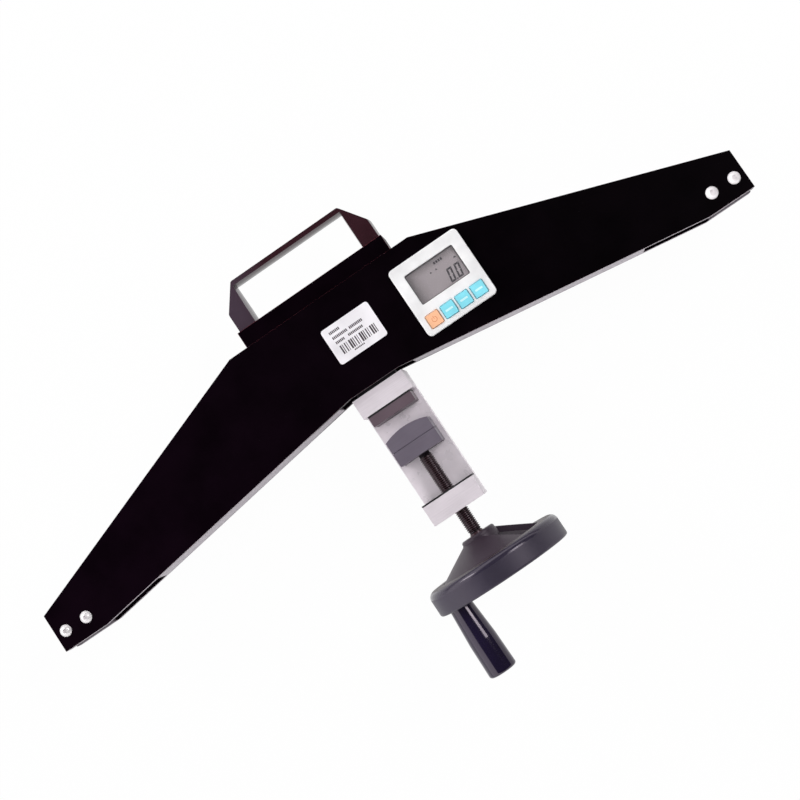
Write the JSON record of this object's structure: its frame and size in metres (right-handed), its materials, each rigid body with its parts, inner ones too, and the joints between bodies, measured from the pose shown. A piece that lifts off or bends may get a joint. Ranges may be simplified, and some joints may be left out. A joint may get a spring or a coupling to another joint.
{
  "type": "wire rope tension meter",
  "caption": "Boomerang-shaped wire rope tension meter with a screw clamp for the rope, a handwheel with a revolving grip, a carry handle, a display with push keys and a blank label.",
  "frame": {"origin": "middle of the fixed anvil's rope face, halfway through the body's thickness", "axes": "+X along the rope, +Y toward the carry handle, +Z out of the front plate"},
  "size_m": [0.684, 0.393, 0.125],
  "materials": {
    "black_plate": "fine-textured powder coat",
    "bare_bar": "plain milled",
    "rope_block": "ground, darkened",
    "bright_screw": "bright zinc",
    "base_black": "gloss black",
    "handle_plastic": "moulded, satin",
    "dark_steel": "oiled black",
    "bezel_white": "semi gloss",
    "window_clear": "clear pane",
    "lcd_grey": "grey display",
    "backlight_white": "matte",
    "board_green": "solder mask",
    "inner_black": "matte",
    "key_orange": "semi gloss",
    "key_cyan": "semi gloss",
    "label_white": "film label",
    "battery_case": "gloss",
    "cell_alloy": "anodised",
    "cable_black": "matte",
    "clamp_silver": "silver anodised",
    "pad_black": "matte",
    "anvil_steel": "ground, hardened",
    "nut_bronze": "turned",
    "spindle_black": "black oxide, oiled",
    "wheel_black": "satin thermoset",
    "grip_black": "polished thermoset"
  },
  "bodies": {
    "frame": {"front_plate": "black_plate", "rear_plate": "black_plate", "left_lower_bar": "bare_bar", "right_lower_bar": "bare_bar", "left_upper_bar": "bare_bar", "right_upper_bar": "bare_bar", "left_rope_block": "rope_block", "right_rope_block": "rope_block", "end_screws": "bright_screw", "rear_end_screws": "bright_screw", "tie_screws": "bright_screw", "handle_base": "base_black", "carry_handle": "handle_plastic", "handle_bolts": "dark_steel", "display_bezel": "bezel_white", "display_window": "window_clear", "lcd_panel": "lcd_grey", "lcd_backlight": "backlight_white", "display_board": "board_green", "key_switches": "inner_black", "board_screws": "dark_steel", "label": "label_white", "battery": "battery_case", "battery_tray": "inner_black", "battery_door": "black_plate", "door_screws": "bright_screw", "load_bridge": "dark_steel", "load_cell": "cell_alloy", "bridge_bolts": "dark_steel", "neck_bolts": "dark_steel", "signal_cable": "cable_black", "clamp_upper_block": "clamp_silver", "clamp_back_plate": "clamp_silver", "clamp_lower_block": "clamp_silver", "clamp_screws": "dark_steel", "anvil_shim": "pad_black", "anvil": "anvil_steel", "anvil_screws": "dark_steel", "stop_pad": "pad_black", "spindle_nut": "nut_bronze"},
    "jaw": {"jaw_base": "anvil_steel", "jaw_shoe": "anvil_steel", "jaw_screws": "dark_steel", "cross_screw": "spindle_black", "journal_pins": "dark_steel"},
    "spindle": {"spindle": "spindle_black", "handwheel": "wheel_black", "wheel_key": "dark_steel", "wheel_washer": "dark_steel", "wheel_screw": "dark_steel", "grip_bolt": "dark_steel"},
    "grip": {"grip": "grip_black"},
    "power_key": {"power_key": "key_orange"},
    "key_one": {"key_one": "key_cyan"},
    "key_two": {"key_two": "key_cyan"},
    "key_three": {"key_three": "key_cyan"}
  },
  "joints": [
    {"name": "jaw_slide", "type": "slide", "parent": "frame", "child": "jaw", "axis": [0, 1, 0], "range_m": [-0.036, 0.0124]},
    {"name": "spindle_turn", "type": "hinge", "parent": "jaw", "child": "spindle", "pos_m": [0, -0.08, 0], "axis": [0, 1, 0], "range_deg": [-7400, 2550]},
    {"name": "grip_spin", "type": "hinge", "parent": "spindle", "child": "grip", "pos_m": [-0.0414, -0.192, 0.02488], "axis": [0, 1, 0], "continuous": true},
    {"name": "power_key_press", "type": "slide", "parent": "frame", "child": "power_key", "axis": [0, 0, -1], "range_m": [0, 0.0005], "stiffness_N_per_m": 400},
    {"name": "key_one_press", "type": "slide", "parent": "frame", "child": "key_one", "axis": [0, 0, -1], "range_m": [0, 0.0005], "stiffness_N_per_m": 400},
    {"name": "key_two_press", "type": "slide", "parent": "frame", "child": "key_two", "axis": [0, 0, -1], "range_m": [0, 0.0005], "stiffness_N_per_m": 400},
    {"name": "key_three_press", "type": "slide", "parent": "frame", "child": "key_three", "axis": [0, 0, -1], "range_m": [0, 0.0005], "stiffness_N_per_m": 400}
  ],
  "couplings": [
    {"joint": "jaw_slide", "follows": "spindle_turn", "m_per_rad": 0.00027852}
  ]
}
